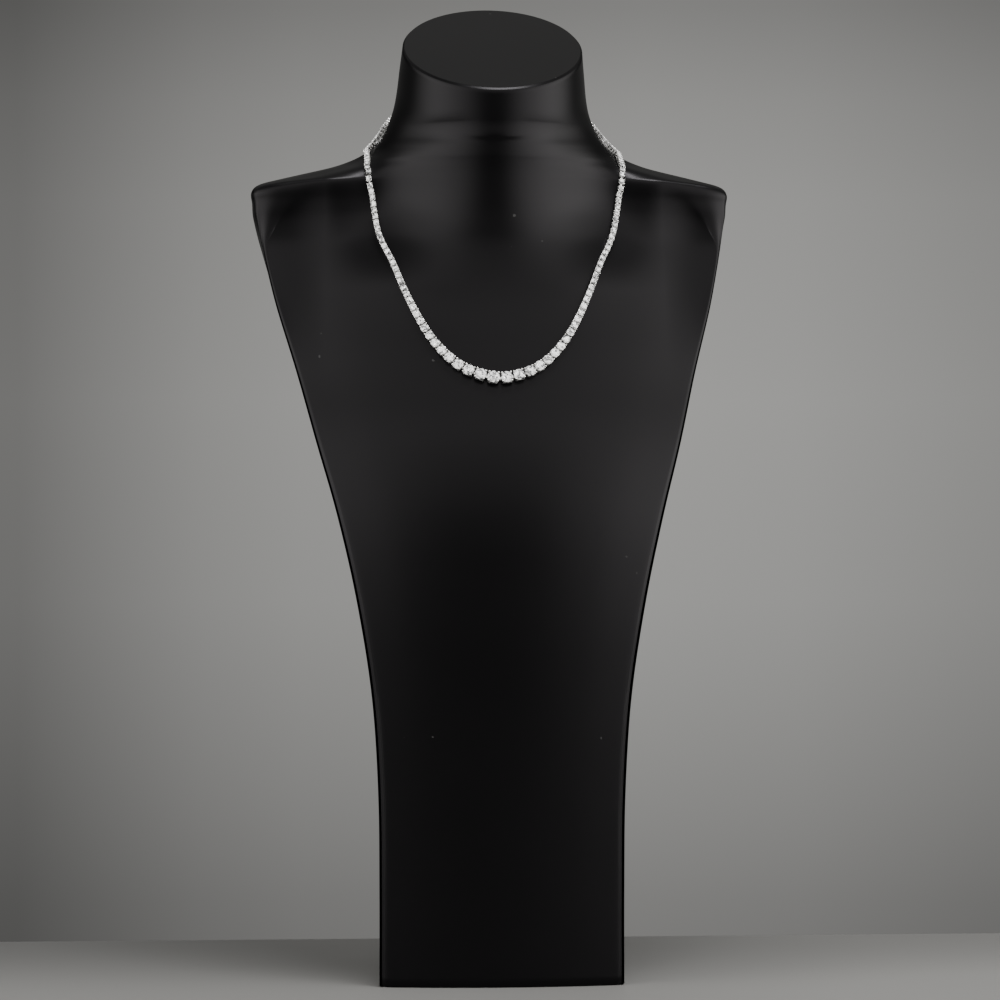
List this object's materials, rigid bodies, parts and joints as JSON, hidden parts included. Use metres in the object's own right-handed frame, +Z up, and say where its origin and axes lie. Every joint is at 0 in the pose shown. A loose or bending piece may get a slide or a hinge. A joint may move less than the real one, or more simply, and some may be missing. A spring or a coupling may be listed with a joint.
{
  "type": "riviere necklace on neck bust",
  "caption": "Graduated riviere necklace of round stones in linked open claw settings, closed round a plain standing neck bust with a slanted flat top.",
  "frame": {"origin": "on the floor under the middle of the bust's bounding box", "axes": "+Z up, the chest faces -Y, +X towards the bust's shoulder on the right of the picture"},
  "size_m": [0.2074, 0.1242, 0.4162],
  "materials": {
    "black_bust": "satin black",
    "white_metal": "polished white metal",
    "clear_stone": "clear cut stone"
  },
  "bodies": {
    "root": {"bust": "black_bust", "clasp": "white_metal", "left_settings": "white_metal", "right_settings": "white_metal", "left_stones": "clear_stone", "right_stones": "clear_stone", "setting_left_9": "white_metal", "stone_left_9": "clear_stone", "setting_left_8": "white_metal", "stone_left_8": "clear_stone", "setting_left_7": "white_metal", "stone_left_7": "clear_stone", "setting_left_6": "white_metal", "stone_left_6": "clear_stone", "setting_left_5": "white_metal", "stone_left_5": "clear_stone", "setting_left_4": "white_metal", "stone_left_4": "clear_stone", "setting_left_3": "white_metal", "stone_left_3": "clear_stone", "setting_left_2": "white_metal", "stone_left_2": "clear_stone", "setting_left_1": "white_metal", "stone_left_1": "clear_stone", "setting_middle": "white_metal", "stone_middle": "clear_stone", "setting_right_1": "white_metal", "stone_right_1": "clear_stone", "setting_right_2": "white_metal", "stone_right_2": "clear_stone", "setting_right_3": "white_metal", "stone_right_3": "clear_stone", "setting_right_4": "white_metal", "stone_right_4": "clear_stone", "setting_right_5": "white_metal", "stone_right_5": "clear_stone", "setting_right_6": "white_metal", "stone_right_6": "clear_stone", "setting_right_7": "white_metal", "stone_right_7": "clear_stone", "setting_right_8": "white_metal", "stone_right_8": "clear_stone", "setting_right_9": "white_metal", "stone_right_9": "clear_stone"}
  },
  "joints": []
}
